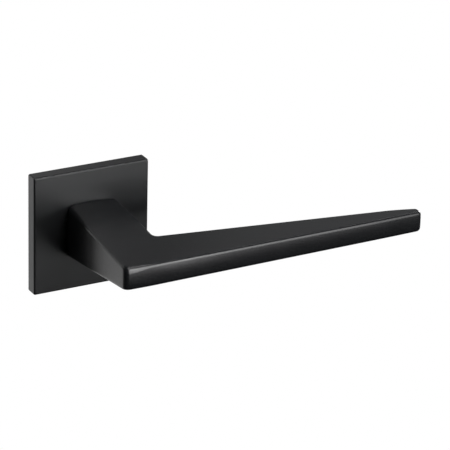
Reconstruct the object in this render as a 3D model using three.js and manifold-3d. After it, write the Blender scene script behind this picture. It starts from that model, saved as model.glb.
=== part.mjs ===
// Door lever handle on a slim square rose, ready to be fixed to a door leaf.
//
// Units are millimetres. +Z is up, +X runs along the lever, +Y goes into the door.
// The origin is where the spindle's axis (the Y axis) meets the face of the door, so
// everything that is seen from the room has a negative Y.
//
// Fixed to the door: base plate, rose cover with its clips and guide ring, two threaded
// posts, neck bush, spring cover and snap ring. Turning with the lever: lever, set screw,
// spindle, spindle leaf, driver, wave washer and circlip. The return spring joins the two.

import * as THREE from 'three';
import { mergeVertices } from 'three/addons/utils/BufferGeometryUtils.js';
import Module from 'manifold-3d';

const wasm = await Module();
wasm.setup();

// ---------------------------------------------------------------- driving dimensions

const GAP = 0.3; // clearance between pieces that touch or slide
const OVERCUT = 1; // how far a cutting tool runs past the face that it opens

// Rose cover: a square pressed shell
const ROSE_SIDE = 52;
const ROSE_DEPTH = 5.6;
const ROSE_WALL = 1.2;
const ROSE_CORNER_R = 1;

// Lever: one casting, seen from above as a straight neck and a wedge-shaped blade
const SHADOW_GAP = 0.7; // between the rose and the root of the neck
const NECK_HALF_WIDTH = 11.1;
const NECK_HALF_HEIGHT = 11; // at the rose; the neck gets lower towards the front
const NECK_EDGE_R = 3;
const LEVER_PROJECTION = 54.1; // from the rose to the front of the blade
const LEVER_REACH = 126.6; // from the spindle's axis to the tip
const BLADE_HALF_HEIGHT = 4.6; // at the front, over the spindle
const BLADE_HALF_HEIGHT_TIP = 4.2;
const BLADE_FRONT_SETBACK = 2; // the front leans back by this much towards the tip
const BLADE_DEPTH_ROOT = 20.2; // front to back, where the blade leaves the neck
const BLADE_DEPTH_TIP = 3.3;
const TIP_CURVE_LENGTH = 12; // the last stretch of the back, which curves forward
const TIP_CURVE_BULGE = 0.75; // how far the curve stands out from a straight back
const HEEL_R = 1.5; // upright front corner over the spindle
const INNER_CORNER_R = 2.5; // between the neck and the back of the blade
const TIP_FRONT_R = 1.2;
const TIP_BACK_R = 0.9;

// Spigot, spindle and set screw
const SPIGOT_R = 8;
const SPINDLE_SIDE = 8;
const SPINDLE_IN_NECK = 26.4; // from the door's face forward, inside the neck
const SPINDLE_BEHIND = 42; // from the door's face back, inside the door
const SPINDLE_CHAMFER = 0.6;
const SET_SCREW_R = 3;
const SET_SCREW_LENGTH = 5.2;
const SET_SCREW_FROM_ROSE = 8;
const SET_SCREW_CHAMFER = 0.5;
const SET_SCREW_HEX_R = 1.7;
const SET_SCREW_HEX_DEPTH = 2.6;
const LEAF_LENGTH = 13;
const LEAF_WIDTH = 3;
const LEAF_THICKNESS = 0.4;
const LEAF_RISE = 0.35;

// Base plate: a die-cast chassis with a round spring housing that sits in the door
const BASE_FRONT_WALL = 1.1;
const HOUSING_WALL = 0.9; // outside the snap ring's groove
const HOUSING_RIM = 0.7; // behind the snap ring's groove
const SPRING_ROOM = 0.5; // between the coil and the wall of its chamber
const POCKET_SIDE = 8;
const POCKET_CORNER_R = 1.5;
const POCKET_EDGE = 2.5; // from the pockets to the edge of the plate
const POCKET_FLOOR = 1.5;

// Threaded posts that the screws from the other side of the door are driven into
const POST_SPACING = 38;
const POST_R = 3.5;
const POST_BEHIND = 6.5;
const POST_HEAD_R = 4.6;
const POST_HEAD_THICKNESS = 1.1;
const POST_THREAD_R = 1.7;
const POST_THREAD_DEPTH = 8.5;
const POST_LEAD = 0.5; // chamfer at the post's end

// Neck bush and guide ring
const BUSH_WALL = 1.5;
const BUSH_FLANGE_WIDTH = 1.1;
const BUSH_FLANGE_THICKNESS = 1.1;
const GUIDE_WALL = 1.1;
const GUIDE_FLANGE_OVERLAP = 0.3; // past the edge of the hole in the cover
const GUIDE_FLANGE_THICKNESS = 0.4;

// Driver: a disc on a hub, with one tooth that takes the spring's leg
const DRIVER_DISC_THICKNESS = 1.8;
const DRIVER_HUB_WALL = 1.3; // at the corners of its square hole
const DRIVER_TOOTH_ANGLE = 22; // degrees that the tooth takes up
const DRIVER_TOOTH_AT = 150; // degrees from +X towards +Z, at rest

// Return spring: a torsion spring round the bush
const SPRING_WIRE_R = 0.75;
const SPRING_COIL_GAP = 0.1;
const SPRING_TURNS = 1.75; // wound so that pressing the lever tightens the coil
const SPRING_LEG = 2;

// Spring cover with its two stop tabs, and the rings that hold it
const LEVER_TRAVEL = 45; // degrees from rest to fully down
const STOP_CLEARANCE = 1.5; // degrees left between the tooth and a tab at each end
const COVER_THICKNESS = 0.8;
const TAB_ANGLE = 16; // degrees that each stop tab takes up
const TAB_WALL = 1.5;
const RING_THICKNESS = 0.7;
const SNAP_RING_WIDTH = 1.5;
const CIRCLIP_WIDTH = 1.8;
const RING_OPENING = 50; // degrees left open in each ring
const RING_EYE_R = 1.1;
const WASHER_THICKNESS = 0.3;
const WASHER_WAVE = 0.15;

// Spring-steel clips between the base plate and the rose cover
const CLIP_WIDTH = 6;
const CLIP_THICKNESS = 0.4;
const CLIP_FROM_AXIS = 12;
const CLIP_NOTCH_DEPTH = 1.6;
const CLIP_BEND = 0.5; // how far the strip's bends reach

const ROUND_SEGMENTS = 48;
const SMALL_SEGMENTS = 24;
const ARC_SEGMENTS = 8;

// ------------------------------------------------------------------ sizes worked out

const roseFront = -ROSE_DEPTH;
const roseInside = roseFront + ROSE_WALL;
const roseInnerHalf = ROSE_SIDE / 2 - ROSE_WALL;
const rootY = roseFront - SHADOW_GAP;
const bladeFrontY = roseFront - LEVER_PROJECTION;

const spigotHoleR = SPIGOT_R + GAP;
const bushR = spigotHoleR + BUSH_WALL;
const bushFlangeR = bushR + BUSH_FLANGE_WIDTH;
const guideR = spigotHoleR + GUIDE_WALL;
const coverHoleR = guideR + GAP;
const squareHole = SPINDLE_SIDE + 2 * GAP;

const baseHalf = roseInnerHalf - GAP;
const baseFront = roseInside + GAP;
const chamberFront = baseFront + BASE_FRONT_WALL;
const bushFlangeFront = chamberFront + GAP;
const bushBack = bushFlangeFront + BUSH_FLANGE_THICKNESS;
const spigotBack = bushBack + WASHER_THICKNESS;

// The spring lies round the bush's flange, and its chamber and housing go round it
const springMeanR = bushFlangeR + GAP + SPRING_WIRE_R;
const chamberR = springMeanR + SPRING_WIRE_R + SPRING_ROOM;
const coverPlateR = chamberR + GAP;
const coverSeatR = coverPlateR + GAP;
const snapGrooveR = coverSeatR + GAP;
const housingR = snapGrooveR + HOUSING_WALL;

// From front to back: coil, driver's disc, spring cover, snap ring, rim of the housing
const springFront = bushFlangeFront + SPRING_WIRE_R;
const springBack = springFront + (2 * SPRING_WIRE_R + SPRING_COIL_GAP) * SPRING_TURNS;
const driverDiscFront = springBack + SPRING_WIRE_R + GAP;
const driverDiscBack = driverDiscFront + DRIVER_DISC_THICKNESS;
const coverFront = driverDiscBack + 2 * GAP;
const coverLedge = coverFront - GAP;
const coverBack = coverFront + COVER_THICKNESS;
const snapRingFront = coverBack + GAP;
const snapRingBack = snapRingFront + RING_THICKNESS;
const housingBack = snapRingBack + HOUSING_RIM;

const driverDiscR = springMeanR - SPRING_WIRE_R - 2 * GAP;
const driverToothR = chamberR - GAP;
const driverHubR = squareHole / 2 * Math.SQRT2 + DRIVER_HUB_WALL;
const driverHubFront = spigotBack + GAP;
const circlipFront = coverBack + GAP + WASHER_THICKNESS + GAP;
const circlipBack = circlipFront + RING_THICKNESS;
const driverHubBack = circlipBack + RING_THICKNESS;
const circlipGrooveR = driverHubR - 2 * GAP;

const rad = THREE.MathUtils.degToRad;

// ------------------------------------------------------------------------- solid tools

// A closed manifold solid from a three.js geometry
function solid(geometry) {
  const bare = geometry.index ? geometry.toNonIndexed() : geometry.clone();
  bare.deleteAttribute('normal');
  bare.deleteAttribute('uv');
  const merged = mergeVertices(bare, 1e-5);
  const corners = merged.index.array;
  const kept = [];
  for (let i = 0; i < corners.length; i += 3) {
    const [a, b, c] = corners.slice(i, i + 3);
    if (a !== b && b !== c && c !== a) kept.push(a, b, c);
  }
  return new wasm.Manifold(new wasm.Mesh({
    numProp: 3,
    vertProperties: new Float32Array(merged.attributes.position.array),
    triVerts: new Uint32Array(kept),
  }));
}

function geometryOf(body) {
  const mesh = body.getMesh();
  const geometry = new THREE.BufferGeometry();
  geometry.setAttribute('position', new THREE.BufferAttribute(mesh.vertProperties, 3));
  geometry.setIndex(new THREE.BufferAttribute(mesh.triVerts, 1));
  geometry.computeVertexNormals();
  return geometry;
}

// An outline drawn in X and Z, made solid from y = front to y = back
function acrossSpindle(shape, front, back, curveSegments = ARC_SEGMENTS) {
  const geometry = new THREE.ExtrudeGeometry(shape, {
    depth: back - front,
    bevelEnabled: false,
    curveSegments,
  });
  geometry.rotateX(Math.PI / 2);
  geometry.translate(0, back, 0);
  return solid(geometry);
}

// A piece turned about the spindle's axis, from closed [radius, y] points. They run from
// front to back along the outside and return along the inside.
function turned(points, segments = ROUND_SEGMENTS) {
  const closed = [...points, points[0]].map(([r, y]) => new THREE.Vector2(r, y));
  return solid(new THREE.LatheGeometry(closed, segments));
}

function disc(radius, front, back, segments = ROUND_SEGMENTS) {
  const height = back - front;
  const geometry = new THREE.CylinderGeometry(radius, radius, height, segments);
  geometry.translate(0, (front + back) / 2, 0);
  return solid(geometry);
}

function ring(inner, outer, front, back, segments = ROUND_SEGMENTS) {
  return turned([[outer, front], [outer, back], [inner, back], [inner, front]], segments);
}

// A closed shape through [x, y, radius] corners, each rounded by its own radius
function roundedShape(corners) {
  const shape = new THREE.Shape();
  const count = corners.length;
  for (let i = 0; i < count; i += 1) {
    const before = new THREE.Vector2(...corners[(i + count - 1) % count]);
    const corner = new THREE.Vector2(...corners[i]);
    const after = new THREE.Vector2(...corners[(i + 1) % count]);
    const radius = corners[i][2];
    const toBefore = before.sub(corner).normalize();
    const toAfter = after.sub(corner).normalize();
    if (radius > 0) {
      const halfAngle = Math.acos(THREE.MathUtils.clamp(toBefore.dot(toAfter), -1, 1)) / 2;
      const reach = radius / Math.tan(halfAngle);
      const start = corner.clone().addScaledVector(toBefore, reach);
      const end = corner.clone().addScaledVector(toAfter, reach);
      const middle = toBefore.clone().add(toAfter).normalize();
      const centre = corner.clone().addScaledVector(middle, radius / Math.sin(halfAngle));
      const startAngle = Math.atan2(start.y - centre.y, start.x - centre.x);
      const endAngle = Math.atan2(end.y - centre.y, end.x - centre.x);
      const clockwise = toBefore.cross(toAfter) > 0;
      if (i > 0) shape.lineTo(start.x, start.y);
      shape.absarc(centre.x, centre.y, radius, startAngle, endAngle, clockwise);
    } else if (i === 0) {
      shape.moveTo(corner.x, corner.y);
    } else {
      shape.lineTo(corner.x, corner.y);
    }
  }
  shape.closePath();
  return shape;
}

function roundedRectangle(halfX, halfY, radius, centreX = 0, centreY = 0) {
  return roundedShape([
    [centreX - halfX, centreY - halfY, radius],
    [centreX + halfX, centreY - halfY, radius],
    [centreX + halfX, centreY + halfY, radius],
    [centreX - halfX, centreY + halfY, radius],
  ]);
}

// A sector of a ring, between two angles in degrees
function ringSector(inner, outer, fromAngle, toAngle) {
  const shape = new THREE.Shape();
  shape.absarc(0, 0, outer, rad(fromAngle), rad(toAngle), false);
  shape.absarc(0, 0, inner, rad(toAngle), rad(fromAngle), true);
  shape.closePath();
  return shape;
}

// The outline of a bent strip of even thickness along [u, v] points
function stripShape(points, thickness) {
  const line = points.map(([u, v]) => new THREE.Vector2(u, v));
  const offset = (side) => line.map((point, i) => {
    const before = line[Math.max(i - 1, 0)];
    const after = line[Math.min(i + 1, line.length - 1)];
    const along = after.clone().sub(before).normalize();
    const across = new THREE.Vector2(-along.y, along.x);
    return point.clone().addScaledVector(across, side * thickness / 2);
  });
  return new THREE.Shape([...offset(1), ...offset(-1).reverse()]);
}

function box(sizeX, sizeY, sizeZ, x, y, z) {
  const geometry = new THREE.BoxGeometry(sizeX, sizeY, sizeZ);
  geometry.translate(x, y, z);
  return solid(geometry);
}

// ---------------------------------------------------------------------------- finishes

function finish(color, roughness, metalness) {
  return () => new THREE.MeshStandardMaterial({ color, roughness, metalness });
}

const blackCoat = finish(0x1c1c1d, 0.38, 0);
const castZinc = finish(0x9a9c9e, 0.5, 0.9);
const platedSteel = finish(0xb9bcc0, 0.35, 1);
const springSteel = finish(0x5b5e62, 0.3, 1);
const blackSteel = finish(0x26272a, 0.4, 0.8);
const nylon = finish(0x17181a, 0.55, 0);
const whiteAcetal = finish(0xe6e4dc, 0.5, 0);

const handle = new THREE.Group();
handle.name = 'door_lever_handle';

function place(name, body, material) {
  const mesh = new THREE.Mesh(geometryOf(body), material());
  mesh.name = name;
  handle.add(mesh);
}

// ------------------------------------------------------------------------------- lever

// The lever from above: X along the blade, Y towards the door
function leverPlan() {
  const frontY = (x) => bladeFrontY + BLADE_FRONT_SETBACK * (x / LEVER_REACH);
  const backRootY = frontY(NECK_HALF_WIDTH) + BLADE_DEPTH_ROOT;
  const tipBackY = frontY(LEVER_REACH) + BLADE_DEPTH_TIP;
  const curveX = LEVER_REACH - TIP_CURVE_LENGTH;
  const backSlope = (tipBackY - backRootY) / (LEVER_REACH - NECK_HALF_WIDTH);
  const curveY = backRootY + backSlope * (curveX - NECK_HALF_WIDTH) + TIP_CURVE_BULGE;
  return roundedShape([
    [-NECK_HALF_WIDTH, rootY, 0],
    [-NECK_HALF_WIDTH, frontY(-NECK_HALF_WIDTH), HEEL_R],
    [LEVER_REACH, frontY(LEVER_REACH), TIP_FRONT_R],
    [LEVER_REACH, tipBackY, TIP_BACK_R],
    [curveX, curveY, 4 * TIP_CURVE_LENGTH],
    [NECK_HALF_WIDTH, backRootY, INNER_CORNER_R],
    [NECK_HALF_WIDTH, rootY, 0],
  ]);
}

// A block that leaves the lever's sloping upper face; its lower side is that face
function upperFaceCutter() {
  const fall = (NECK_HALF_HEIGHT - BLADE_HALF_HEIGHT) / (LEVER_PROJECTION - SHADOW_GAP);
  const tipFall = fall * BLADE_FRONT_SETBACK;
  const side = (BLADE_HALF_HEIGHT + tipFall - BLADE_HALF_HEIGHT_TIP) / LEVER_REACH;
  const upwards = new THREE.Vector3(side, -fall, 1).normalize();
  const size = 4 * LEVER_REACH;
  const geometry = new THREE.BoxGeometry(size, size, size);
  geometry.translate(0, 0, size / 2);
  geometry.applyQuaternion(
    new THREE.Quaternion().setFromUnitVectors(new THREE.Vector3(0, 0, 1), upwards),
  );
  geometry.translate(0, bladeFrontY, BLADE_HALF_HEIGHT);
  return solid(geometry);
}

function lever() {
  const plan = new THREE.ExtrudeGeometry(leverPlan(), {
    depth: 4 * NECK_HALF_HEIGHT,
    bevelEnabled: false,
    curveSegments: ARC_SEGMENTS,
  });
  plan.translate(0, 0, -2 * NECK_HALF_HEIGHT);
  const cutter = upperFaceCutter();
  const lowerCutter = cutter.mirror([0, 0, 1]);
  const blank = solid(plan).subtract(cutter).subtract(lowerCutter);

  // The long edges of the neck are rounded at the rose and run out towards the front
  const section = roundedRectangle(NECK_HALF_WIDTH, NECK_HALF_HEIGHT, NECK_EDGE_R);
  const neckLimit = acrossSpindle(section, bladeFrontY - OVERCUT, rootY);
  const bladeLimitDepth = BLADE_DEPTH_ROOT + 2 * INNER_CORNER_R;
  const bladeLimit = box(
    LEVER_REACH + OVERCUT, bladeLimitDepth, 4 * NECK_HALF_HEIGHT,
    (LEVER_REACH + OVERCUT) / 2, bladeFrontY + bladeLimitDepth / 2 - OVERCUT, 0,
  );
  const body = blank.intersect(neckLimit.add(bladeLimit));

  const spigot = disc(SPIGOT_R, rootY - OVERCUT, spigotBack);
  const socketFront = -SPINDLE_IN_NECK - GAP;
  const socket = box(
    squareHole, spigotBack + OVERCUT - socketFront, squareHole,
    0, (spigotBack + OVERCUT + socketFront) / 2, 0,
  );
  const screwHole = new THREE.CylinderGeometry(
    SET_SCREW_R + GAP, SET_SCREW_R + GAP, 2 * NECK_HALF_HEIGHT, SMALL_SEGMENTS,
  );
  screwHole.rotateX(Math.PI / 2);
  screwHole.translate(0, roseFront - SET_SCREW_FROM_ROSE, -NECK_HALF_HEIGHT);
  return body.add(spigot).subtract(socket).subtract(solid(screwHole));
}

place('lever', lever(), blackCoat);

// ---------------------------------------------- set screw, spindle and its spring leaf

// A grub screw driven up from under the neck on to the spindle
function setScrew() {
  const profile = [
    [0, 0],
    [SET_SCREW_R - SET_SCREW_CHAMFER, 0],
    [SET_SCREW_R, SET_SCREW_CHAMFER],
    [SET_SCREW_R, SET_SCREW_LENGTH - 2 * SET_SCREW_CHAMFER],
    [SET_SCREW_R - 2 * SET_SCREW_CHAMFER, SET_SCREW_LENGTH],
    [0, SET_SCREW_LENGTH],
  ].map(([r, y]) => new THREE.Vector2(r, y));
  const shank = new THREE.LatheGeometry(profile, SMALL_SEGMENTS);
  const hexDepth = SET_SCREW_HEX_DEPTH + OVERCUT;
  const hex = new THREE.CylinderGeometry(SET_SCREW_HEX_R, SET_SCREW_HEX_R, hexDepth, 6);
  hex.translate(0, SET_SCREW_HEX_DEPTH - hexDepth / 2, 0);
  const headZ = -SPINDLE_SIDE / 2 - GAP - SET_SCREW_LENGTH;
  for (const geometry of [shank, hex]) {
    geometry.rotateX(Math.PI / 2);
    geometry.translate(0, roseFront - SET_SCREW_FROM_ROSE, headZ);
  }
  return solid(shank).subtract(solid(hex));
}

place('set_screw', setScrew(), blackSteel);

const leafMiddleY = roseFront - SET_SCREW_FROM_ROSE;
const leafGrooveDepth = LEAF_THICKNESS + GAP + LEAF_RISE;

function spindle() {
  const half = SPINDLE_SIDE / 2;
  const bar = new THREE.ExtrudeGeometry(roundedRectangle(half, half, 0), {
    depth: SPINDLE_IN_NECK + SPINDLE_BEHIND - 2 * SPINDLE_CHAMFER,
    bevelEnabled: true,
    bevelThickness: SPINDLE_CHAMFER,
    bevelSize: SPINDLE_CHAMFER,
    bevelOffset: -SPINDLE_CHAMFER,
    bevelSegments: 1,
  });
  bar.rotateX(Math.PI / 2);
  bar.translate(0, SPINDLE_BEHIND - SPINDLE_CHAMFER, 0);
  const groove = box(
    LEAF_WIDTH + 2 * GAP, LEAF_LENGTH + 2 * GAP, leafGrooveDepth + OVERCUT,
    0, leafMiddleY, half - leafGrooveDepth + (leafGrooveDepth + OVERCUT) / 2,
  );
  return solid(bar).subtract(groove);
}

place('spindle', spindle(), platedSteel);

// A bowed leaf in the spindle's upper face that takes up its play in the neck
function spindleLeaf() {
  const steps = 10;
  const lowestZ = SPINDLE_SIDE / 2 - leafGrooveDepth + GAP / 2 + LEAF_THICKNESS / 2;
  const points = [];
  for (let i = 0; i <= steps; i += 1) {
    const along = i / steps;
    const rise = LEAF_RISE * Math.sin(Math.PI * along);
    points.push([leafMiddleY + (along - 0.5) * LEAF_LENGTH, lowestZ + rise]);
  }
  const geometry = new THREE.ExtrudeGeometry(stripShape(points, LEAF_THICKNESS), {
    depth: LEAF_WIDTH,
    bevelEnabled: false,
  });
  // The strip is drawn in Y and Z, so its width has to run along X
  geometry.rotateY(Math.PI / 2);
  geometry.rotateX(Math.PI / 2);
  geometry.translate(-LEAF_WIDTH / 2, 0, 0);
  return solid(geometry);
}

place('spindle_leaf', spindleLeaf(), springSteel);

// -------------------------------------------------------------------------- rose cover

function roseCover() {
  const half = ROSE_SIDE / 2;
  const innerCornerR = Math.max(ROSE_CORNER_R - ROSE_WALL, 0.3);
  const outside = acrossSpindle(roundedRectangle(half, half, ROSE_CORNER_R), roseFront, 0);
  const inside = acrossSpindle(
    roundedRectangle(roseInnerHalf, roseInnerHalf, innerCornerR), roseInside, OVERCUT,
  );
  const hole = disc(coverHoleR, roseFront - OVERCUT, roseInside + OVERCUT);
  return outside.subtract(inside).subtract(hole);
}

place('rose_cover', roseCover(), blackCoat);

// Nylon ring in the cover's hole. Its flange stands in the shadow gap under the neck.
function guideRing() {
  const guideFlangeR = coverHoleR + GUIDE_FLANGE_OVERLAP;
  const flangeBack = roseFront - GAP / 2;
  const flangeFront = flangeBack - GUIDE_FLANGE_THICKNESS;
  return turned([
    [guideFlangeR, flangeFront],
    [guideFlangeR, flangeBack],
    [guideR, flangeBack],
    [guideR, roseInside],
    [spigotHoleR, roseInside],
    [spigotHoleR, flangeFront],
  ]);
}

place('guide_ring', guideRing(), nylon);

// -------------------------------------------------------------------------- base plate

const postXs = [-POST_SPACING / 2, POST_SPACING / 2];
const clipPlaces = [
  { name: 'upper_left', x: -CLIP_FROM_AXIS, side: 1 },
  { name: 'upper_right', x: CLIP_FROM_AXIS, side: 1 },
  { name: 'lower_left', x: -CLIP_FROM_AXIS, side: -1 },
  { name: 'lower_right', x: CLIP_FROM_AXIS, side: -1 },
];
const fixedLegAngle = DRIVER_TOOTH_AT + 360 * SPRING_TURNS;
const springLegR = springMeanR + SPRING_LEG;

function basePlate() {
  const square = roundedRectangle(baseHalf, baseHalf, ROSE_CORNER_R);
  let body = acrossSpindle(square, baseFront, 0);
  body = body.add(disc(housingR, -OVERCUT, housingBack));
  body = body.subtract(disc(chamberR, chamberFront, housingBack + OVERCUT));
  body = body.subtract(disc(coverSeatR, coverLedge, housingBack + OVERCUT));
  body = body.subtract(disc(snapGrooveR, snapRingFront - GAP / 2, snapRingBack + GAP / 2));
  body = body.subtract(disc(bushR + GAP, baseFront - OVERCUT, chamberFront + OVERCUT));

  for (const x of postXs) {
    const shankHole = disc(POST_R + GAP, baseFront - OVERCUT, housingBack + OVERCUT, SMALL_SEGMENTS);
    const headBack = baseFront + POST_HEAD_THICKNESS + GAP;
    const headHole = disc(POST_HEAD_R + GAP, baseFront - OVERCUT, headBack, SMALL_SEGMENTS);
    body = body.subtract(shankHole.add(headHole).translate([x, 0, 0]));
  }

  for (const { x, side } of clipPlaces) {
    body = body.subtract(box(
      CLIP_WIDTH + 2 * GAP, ROSE_DEPTH + 2 * OVERCUT, 2 * CLIP_NOTCH_DEPTH,
      x, baseFront / 2, side * baseHalf,
    ));
  }

  // Pockets in the back keep the casting's walls thin at the four corners
  const pocketFromAxis = baseHalf - POCKET_EDGE - POCKET_SIDE / 2;
  for (const sideX of [-1, 1]) {
    for (const sideZ of [-1, 1]) {
      const pocket = roundedRectangle(
        POCKET_SIDE / 2, POCKET_SIDE / 2, POCKET_CORNER_R,
        sideX * pocketFromAxis, sideZ * pocketFromAxis,
      );
      body = body.subtract(acrossSpindle(pocket, baseFront + POCKET_FLOOR, OVERCUT));
    }
  }

  // A slot in the chamber's wall holds the spring's fixed leg
  const slotWidth = 2 * SPRING_WIRE_R + 2 * GAP;
  const slotLength = springLegR + GAP - springMeanR;
  const slot = box(
    slotLength, springFront + SPRING_WIRE_R + GAP - chamberFront, slotWidth,
    springMeanR + slotLength / 2,
    (chamberFront + springFront + SPRING_WIRE_R + GAP) / 2, 0,
  );
  return body.subtract(slot.rotate([0, -fixedLegAngle, 0]));
}

place('base_plate', basePlate(), castZinc);

// ------------------------------------------------------------------------------- posts

function post() {
  const threadFront = POST_BEHIND - POST_THREAD_DEPTH;
  const bore = disc(POST_THREAD_R, threadFront, POST_BEHIND + OVERCUT, SMALL_SEGMENTS);
  const profile = [
    [0, baseFront],
    [POST_HEAD_R, baseFront],
    [POST_HEAD_R, baseFront + POST_HEAD_THICKNESS],
    [POST_R, baseFront + POST_HEAD_THICKNESS],
    [POST_R, POST_BEHIND - POST_LEAD],
    [POST_R - POST_LEAD, POST_BEHIND],
    [0, POST_BEHIND],
  ].map(([r, y]) => new THREE.Vector2(r, y));
  return solid(new THREE.LatheGeometry(profile, SMALL_SEGMENTS)).subtract(bore);
}

place('post_left', post().translate([postXs[0], 0, 0]), platedSteel);
place('post_right', post().translate([postXs[1], 0, 0]), platedSteel);

// ----------------------------------------------------------- neck bush and wave washer

function neckBush() {
  return turned([
    [bushR, baseFront],
    [bushR, bushFlangeFront],
    [bushFlangeR, bushFlangeFront],
    [bushFlangeR, bushBack],
    [spigotHoleR, bushBack],
    [spigotHoleR, baseFront],
  ]);
}

place('neck_bush', neckBush(), whiteAcetal);

// A washer with three waves between the spring cover and the circlip
function waveWasher() {
  const middle = coverBack + GAP + WASHER_THICKNESS / 2;
  const inner = driverHubR + GAP;
  const outer = inner + CIRCLIP_WIDTH;
  const half = WASHER_THICKNESS / 2;
  const corners = [
    [outer, middle - half], [outer, middle + half], [inner, middle + half],
    [inner, middle - half], [outer, middle - half],
  ].map(([r, y]) => new THREE.Vector2(r, y));
  const geometry = new THREE.LatheGeometry(corners, ROUND_SEGMENTS);
  const position = geometry.attributes.position;
  for (let i = 0; i < position.count; i += 1) {
    const angle = Math.atan2(position.getZ(i), position.getX(i));
    position.setY(i, position.getY(i) + WASHER_WAVE * Math.cos(3 * angle));
  }
  return solid(geometry);
}

place('wave_washer', waveWasher(), springSteel);

// ------------------------------------------------------------- driver and return spring

function driver() {
  const tooth = ringSector(
    driverDiscR - OVERCUT, driverToothR,
    DRIVER_TOOTH_AT - DRIVER_TOOTH_ANGLE / 2, DRIVER_TOOTH_AT + DRIVER_TOOTH_ANGLE / 2,
  );
  const notchDepth = driverToothR - (springMeanR - SPRING_WIRE_R - GAP);
  const legNotch = box(
    notchDepth + OVERCUT, DRIVER_DISC_THICKNESS + 2 * OVERCUT, 2 * (SPRING_WIRE_R + GAP),
    driverToothR + OVERCUT - (notchDepth + OVERCUT) / 2,
    (driverDiscFront + driverDiscBack) / 2, 0,
  );
  const grooveFront = circlipFront - GAP / 2;
  const grooveBack = circlipBack + GAP / 2;
  const square = box(
    squareHole, driverHubBack - driverHubFront + 2 * OVERCUT, squareHole,
    0, (driverHubBack + driverHubFront) / 2, 0,
  );
  return disc(driverHubR, driverHubFront, driverHubBack)
    .add(disc(driverDiscR, driverDiscFront, driverDiscBack))
    .add(acrossSpindle(tooth, driverDiscFront, driverDiscBack))
    .subtract(legNotch.rotate([0, -DRIVER_TOOTH_AT, 0]))
    .subtract(ring(circlipGrooveR, driverHubR + OVERCUT, grooveFront, grooveBack))
    .subtract(square);
}

place('driver', driver(), castZinc);

// The coil of the return spring, as a curve from its fixed end to its moving end
class Coil extends THREE.Curve {
  getPoint(t, target = new THREE.Vector3()) {
    const angle = rad(fixedLegAngle - 360 * SPRING_TURNS * t);
    const y = THREE.MathUtils.lerp(springFront, springBack, t);
    return target.set(springMeanR * Math.cos(angle), y, springMeanR * Math.sin(angle));
  }
}

// Round wire: a leg out into the base plate's slot, the coil, and a leg back into the
// notch of the driver's tooth. A ball rounds each of the two bends.
function returnSpring() {
  const coil = new Coil();
  const fixedEnd = coil.getPoint(0);
  const movingEnd = coil.getPoint(1);
  const outwards = fixedEnd.clone().setY(0).normalize();
  const fixedLegEnd = fixedEnd.clone().addScaledVector(outwards, SPRING_LEG);
  const movingLegEnd = movingEnd.clone().setY(driverDiscBack - GAP);
  const stretches = [
    { curve: new THREE.LineCurve3(fixedLegEnd, fixedEnd), steps: 1 },
    { curve: coil, steps: Math.round(20 * SPRING_TURNS) },
    { curve: new THREE.LineCurve3(movingEnd, movingLegEnd), steps: 1 },
  ];
  const section = new THREE.Shape().absarc(0, 0, SPRING_WIRE_R, 0, 2 * Math.PI);
  const wires = stretches.map(({ curve, steps }) => solid(new THREE.ExtrudeGeometry(section, {
    extrudePath: curve,
    steps,
    curveSegments: 4,
    bevelEnabled: false,
  })));
  const balls = [fixedEnd, movingEnd].map(({ x, y, z }) => {
    const ball = new THREE.SphereGeometry(SPRING_WIRE_R, 10, 8);
    ball.translate(x, y, z);
    return solid(ball);
  });
  return [...wires, ...balls].reduce((whole, piece) => whole.add(piece));
}

place('return_spring', returnSpring(), springSteel);

// ------------------------------------------------------------ spring cover and its rings

// A steel plate that closes the spring housing. Two tabs bent forward from it stop the
// driver's tooth: one at rest, one when the lever is fully down.
function springCover() {
  const halfTooth = DRIVER_TOOTH_ANGLE / 2;
  const restFrom = DRIVER_TOOTH_AT + halfTooth + STOP_CLEARANCE;
  const downTo = DRIVER_TOOTH_AT - LEVER_TRAVEL - halfTooth - STOP_CLEARANCE;
  let body = disc(coverPlateR, coverFront, coverBack);
  for (const from of [restFrom, downTo - TAB_ANGLE]) {
    const outer = chamberR - GAP;
    const tab = ringSector(outer - TAB_WALL, outer, from, from + TAB_ANGLE);
    body = body.add(acrossSpindle(tab, driverDiscFront, coverBack));
  }
  return body.subtract(disc(driverHubR + GAP, coverFront - OVERCUT, coverBack + OVERCUT));
}

place('spring_cover', springCover(), platedSteel);

// An open retaining ring with an eye for the pliers at each end, at radius eyeAt
function retainingRing(inner, outer, eyeAt, front) {
  const back = front + RING_THICKNESS;
  const start = -90 + RING_OPENING / 2;
  const end = 270 - RING_OPENING / 2;
  const sector = ringSector(inner, outer, start, end);
  let body = acrossSpindle(sector, front, back, ROUND_SEGMENTS / 2);
  for (const angle of [start, end]) {
    const x = eyeAt * Math.cos(rad(angle));
    const z = eyeAt * Math.sin(rad(angle));
    const eye = disc(RING_EYE_R, front, back, SMALL_SEGMENTS / 2);
    const hole = disc(RING_EYE_R / 2, front - OVERCUT, back + OVERCUT, SMALL_SEGMENTS / 2);
    body = body.add(eye.translate([x, 0, z])).subtract(hole.translate([x, 0, z]));
  }
  return body;
}

const snapOuter = snapGrooveR - GAP;
const snapInner = snapOuter - SNAP_RING_WIDTH;
place('snap_ring', retainingRing(snapInner, snapOuter, snapInner + GAP, snapRingFront), springSteel);

const circlipInner = circlipGrooveR + GAP;
const circlipOuter = circlipInner + CIRCLIP_WIDTH;
place('circlip', retainingRing(circlipInner, circlipOuter, circlipOuter - GAP, circlipFront), springSteel);

// ------------------------------------------------------------------------- cover clips

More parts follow.
